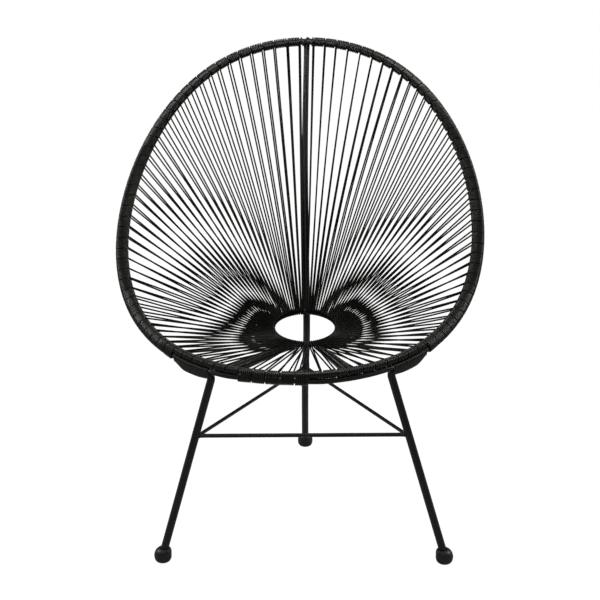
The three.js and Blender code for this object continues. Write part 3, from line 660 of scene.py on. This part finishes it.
rearPath[:, 0] += np.interp(heightShare, swayCurve[:, 0], swayCurve[:, 1])
thickness = 1 + spine["collar"] * smooth(*spine["collarFrom"], np.linalg.norm(rearPath - spineTop, axis=1))
thickness = thickness * (1 - (1 - spine["thin"]) * smooth(*spine["thinFrom"], heightShare))
rearTube = tube(rearPath, np.array([1.0, 0.0, 0.0]), legTube["radius"] * thickness[None], legTube["sides"])
piece("rearLegSpine", rearTube, steelCoat, ["rear_leg_spine"])


# an arm runs from the ring to just short of the outer rod; the pitch of the cord round it is in cord radii
arm = {"radius": 0.007, "tip": 0.004, "taper": (0.35, 0.7), "short": 0.006, "endThin": 0.35, "endFrom": (0.92, 1.0),
       "steps": 60, "sides": 20, "wound": (0.16, 0.90), "coil": (0.0050, 0.0100), "coilPitch": 2.06,
       "pointsPerTurn": 14}


def armCoil(start, end):
    # turns of cord laid side by side round the arm: the axis point, plus a circle's point at a radius that grows
    # towards the hoop
    low, high = arm["wound"]
    length = np.linalg.norm(end - start) * (high - low)
    turns = round(length / (arm["coilPitch"] * cord["radius"]))
    t = np.linspace(0, 1, turns * arm["pointsPerTurn"] + 1)
    angle = 2 * np.pi * turns * t
    axis = unit(end - start)
    side1 = unit(np.cross(axis, worldUp))
    side2 = np.cross(side1, axis)
    small, large = arm["coil"]
    radius = small + (large - small) * t
    path = start + (end - start) * (low + (high - low) * t)[:, None]
    path = path + radius[:, None] * (np.cos(angle)[:, None] * side1 + np.sin(angle)[:, None] * side2)
    return tube(path, axis, cord["radius"], cord["sides"])


for side, sign in sideSign.items():
    station = hoop["arm"][side] if sign > 0 else stationCount - hoop["arm"][side]
    sec = section(station)
    ringEnd = ringSection(lugAngle / 2 + (station - 0.5) * ringPitch)["centre"]
    hoopEnd = inSection(sec, sec["pair"][0], sec["pair"][1])
    hoopEnd = hoopEnd - unit(hoopEnd - ringEnd) * arm["short"]
    t = np.linspace(0, 1, arm["steps"])
    radius = arm["tip"] + (arm["radius"] - arm["tip"]) * smooth(*arm["taper"], t)
    radius = radius * (1 - arm["endThin"] * smooth(*arm["endFrom"], t))
    bar = tube(straight(ringEnd, hoopEnd, arm["steps"]), worldUp, radius[None], arm["sides"])
    piece(f"seatArm_{side}", bar, steelCoat, [f"seat_arm_{side}"])
    piece(f"armCord_{side}", armCoil(ringEnd, hoopEnd), cordFinish)


# heights of the joints above the floor, the side rods' in front as a step from the front rod's
stretcher = {"frontRadius": 0.0039, "sideRadius": 0.0036, "frontHeight": 0.2605, "sideStep": -0.0035,
             "rearHeight": 0.2235, "rearSpread": 0.0016, "steps": 80, "sides": 16}
# a rod keeps its flare up to flareStart from each end and loses it over flareLength beyond; a bead has two sets of
# scales, each given by how many there are and how high, and the search for its curve starts the approach away
weld = {"frontFlare": 0.0008, "sideFlare": 0.0006, "flareStart": 0.007, "flareLength": 0.0022, "approach": 0.03,
        "frontBead": 0.0011, "sideBead": 0.0010, "scales": ((9, 0.16), (23, 0.06)), "steps": 40, "sides": 8}


def atHeight(foot, direction, height):
    # the foot moved along the direction up to the height
    return foot + direction * (height - foot[2]) / direction[2]


def weldedRod(a, b, radius, flare):
    # a straight rod whose radius swells at both ends by a falling exponential, as a weld's foot does
    path = straight(a, b, stretcher["steps"])
    ends = np.minimum(alongPath(path), alongPath(path)[-1] - alongPath(path))
    swell = flare * np.exp(-np.maximum(ends - weld["flareStart"], 0) / weld["flareLength"])
    return tube(path, worldUp, (radius + swell)[None], stretcher["sides"])


def saddle(rodPoint, rodDirection, rodRadius, leg, bead):
    # the curve where a thin rod meets a leg: on each line of the rod's surface the distance s to the leg solves
    # |q + s u|^2 = R^2, with q and u taken square to the leg's axis; the bead swells in small scales along it
    u, w = unit(rodDirection), unit(leg["up"])
    e1 = unit(np.cross(u, w))
    e2 = np.cross(u, e1)
    angle = 2 * np.pi * np.arange(weld["steps"])[:, None] / weld["steps"]
    lines = rodPoint + rodRadius * (np.cos(angle) * e1 + np.sin(angle) * e2)
    q = lines - leg["foot"]
    q = q - dot(q, w) * w
    flat = u - dot(u, w) * w
    a, b, c = dot(flat, flat), 2 * dot(q, flat), dot(q, q) - legTube["radius"] ** 2
    s = (-b - np.sqrt(np.maximum(b * b - 4 * a * c, 0))) / (2 * a)
    path = lines + s * u
    (few, high), (many, slight) = weld["scales"]
    radius = bead * (1 + high * np.sin(few * angle[:, 0]) + slight * np.sin(many * angle[:, 0]))
    return tube(path, u, radius[None], weld["sides"], closed=True)


joints = {side: atHeight(leg["foot"], leg["up"], stretcher["frontHeight"]) for side, leg in legs.items()}
frontRod = weldedRod(joints["left"], joints["right"], stretcher["frontRadius"], weld["frontFlare"])
piece("frontStretcher", frontRod, steelCoat, ["front_stretcher"])
across = unit(joints["right"] - joints["left"])
rearLeg = {"foot": rearFoot, "up": rearUp}
beads = []
for side, sign in sideSign.items():
    leg = legs[side]
    outward = across * sign
    beads.append(saddle(joints[side] - outward * weld["approach"], outward, stretcher["frontRadius"], leg,
                        weld["frontBead"]))
    start = atHeight(leg["foot"], leg["up"], stretcher["frontHeight"] + stretcher["sideStep"])
    end = atHeight(rearFoot, rearUp, stretcher["rearHeight"]) + np.array([sign * stretcher["rearSpread"], 0, 0])
    rod = unit(end - start)
    piece(f"sideStretcher_{side}", weldedRod(start, end, stretcher["sideRadius"], weld["sideFlare"]), steelCoat,
          [f"side_stretcher_{side}"])
    beads.append(saddle(start + rod * weld["approach"], -rod, stretcher["sideRadius"], leg, weld["sideBead"]))
    beads.append(saddle(end - rod * weld["approach"], rod, stretcher["sideRadius"], rearLeg, weld["sideBead"]))
piece("weldBeads", joined(*beads), steelCoat)
print("frame ready")


# the outline is in shares of radius and height, from the middle of the base to the middle of the top
cap = {"radius": 0.017, "height": 0.029, "sides": 56, "outlineSteps": 5, "leastRadius": 0.00002, "followFrom": 0.5,
       "followPower": 1.5,
       "outline": [(0.0, 0.0), (0.30, 0.0), (0.50, 0.004), (0.70, 0.035), (0.84, 0.10), (0.95, 0.22), (1.0, 0.38),
                   (1.0, 0.52), (0.985, 0.545), (0.995, 0.57), (0.965, 0.70), (0.88, 0.84), (0.73, 0.945),
                   (0.60, 0.985), (0.52, 1.0), (0.44, 0.985), (0.30, 0.93), (0.0, 0.9)]}


def capShape(foot, up):
    # the outline turned round Z, with its upper part pushed sideways to follow the leg
    profile = curveThrough(np.array(cap["outline"]) * np.array([cap["radius"], cap["height"]]), cap["outlineSteps"])
    profile[:, 0] = np.maximum(profile[:, 0], cap["leastRadius"])
    verts, quads, tris, lay = turned(profile, cap["sides"])
    share = verts[:, 2:] / cap["height"]
    follow = np.clip(share - cap["followFrom"], 0, 1) ** cap["followPower"] * cap["height"]
    verts = verts + follow * np.array([up[0] / up[2], up[1] / up[2], 0.0])
    return verts + np.array([foot[0], foot[1], 0.0]), quads, tris, lay


caps = {"front_left": legs["left"], "front_right": legs["right"], "rear": rearLeg}
for place, leg in caps.items():
    piece(f"footCap_{place}", capShape(leg["foot"], leg["up"]), capFinish, [f"foot_cap_{place}"])

# the lug keeps its CAD shape
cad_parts["ring_lug"].material_slots[0].material = steelCoat
print("foot caps ready")


# white is the floor's own colour; lift and glow are how much and how brightly it shines for the camera alone
stageLook = {"white": 0.45, "lift": 0.9, "glow": 1.12, "glossShare": 0.05, "sky": 0.10, "floorReach": 30}
pureWhite = (1, 1, 1, 1)


def backdropMask(finish):
    # 1 for rays from the camera and through glass, and a share of it for reflections
    rays = finish.add("ShaderNodeLightPath")
    node = rays.socket.node
    camera, glossy, through = (Flow(finish, node.outputs[name])
                               for name in ("Is Camera Ray", "Is Glossy Ray", "Is Transmission Ray"))
    return camera + through + glossy * stageLook["glossShare"]


floorFinish = Finish(bpy.data.materials.new("pale floor"))
plain = floorFinish.add("ShaderNodeBsdfDiffuse", {}, {0: (stageLook["white"],) * 3 + (1,)})
glow = floorFinish.add("ShaderNodeEmission", {}, {0: pureWhite, 1: stageLook["glow"]})
mixed = floorFinish.add("ShaderNodeMixShader", {},
                        {0: backdropMask(floorFinish) * stageLook["lift"], 1: plain, 2: glow})
floorFinish.add("ShaderNodeOutputMaterial", {}, {0: mixed})
reach = stageLook["floorReach"]
floorMesh = bpy.data.meshes.new("floor")
floorMesh.from_pydata([(-reach, -reach, 0), (reach, -reach, 0), (reach, reach, 0), (-reach, reach, 0)], [],
                      [(0, 1, 2, 3)])
floorMesh.materials.append(floorFinish.owner)
floor = bpy.data.objects.new("floor", floorMesh)
bpy.context.scene.collection.objects.link(floor)

world = bpy.data.worlds.new("studio")
bpy.context.scene.world = world
sky = Finish(world)
ambient = sky.add("ShaderNodeBackground", {}, {0: pureWhite, 1: stageLook["sky"]})
white = sky.add("ShaderNodeBackground", {}, {0: pureWhite, 1: 1.0})
skyMix = sky.add("ShaderNodeMixShader", {}, {0: backdropMask(sky), 1: ambient, 2: white})
sky.add("ShaderNodeOutputWorld", {}, {0: skyMix})

# each lamp's place, the length of its sides and its power
lamps = {"left": ((-2.3, 0.2, 1.9), 0.8, 44.0), "right": ((2.3, 0.2, 1.9), 0.8, 44.0),
         "back": ((0.1, 1.9, 2.7), 0.8, 16.0), "front": ((-0.4, -3.2, 1.0), 1.6, 3.0),
         "top": ((-0.2, -1.6, 2.9), 0.5, 14.0)}
lampAim = Vector((0.0, 0.0, 0.45))
for name, (place, size, power) in lamps.items():
    data = bpy.data.lights.new(name, "AREA")
    data.size, data.energy = size, power
    lamp = bpy.data.objects.new(name, data)
    lamp.location = place
    lamp.rotation_euler = (lampAim - Vector(place)).to_track_quat("-Z", "Y").to_euler()
    bpy.context.scene.collection.objects.link(lamp)

# the camera stands the distance in front of the front feet, turned by the yaw about an upright behind them
view = {"focalPixels": 1286, "imagePixels": 600, "sensor": 36.0, "pitch": 20.0, "yaw": 0.58, "height": 1.342,
        "distance": 2.191, "aside": -0.010, "turnBehind": 0.30, "clip": (0.05, 100.0)}
lens = bpy.data.cameras.new("camera")
lens.lens = view["focalPixels"] / view["imagePixels"] * view["sensor"]
lens.sensor_width, lens.sensor_fit = view["sensor"], "HORIZONTAL"
camera = bpy.data.objects.new("camera", lens)
bpy.context.scene.collection.objects.link(camera)
turn = math.radians(view["yaw"])
pivot = np.array([0.0, legTube["foot"][1] + view["turnBehind"]]) + drawingOrigin[:2]
offset = np.array([view["aside"], -view["distance"] - view["turnBehind"]])
rotated = np.array([math.cos(turn) * offset[0] - math.sin(turn) * offset[1],
                    math.sin(turn) * offset[0] + math.cos(turn) * offset[1]])
camera.location = (pivot[0] + rotated[0], pivot[1] + rotated[1], view["height"])
camera.rotation_euler = (math.radians(90 - view["pitch"]), 0.0, turn)
lens.clip_start, lens.clip_end = view["clip"]
bpy.context.scene.camera = camera
bpy.context.scene.view_settings.view_transform = "Standard"
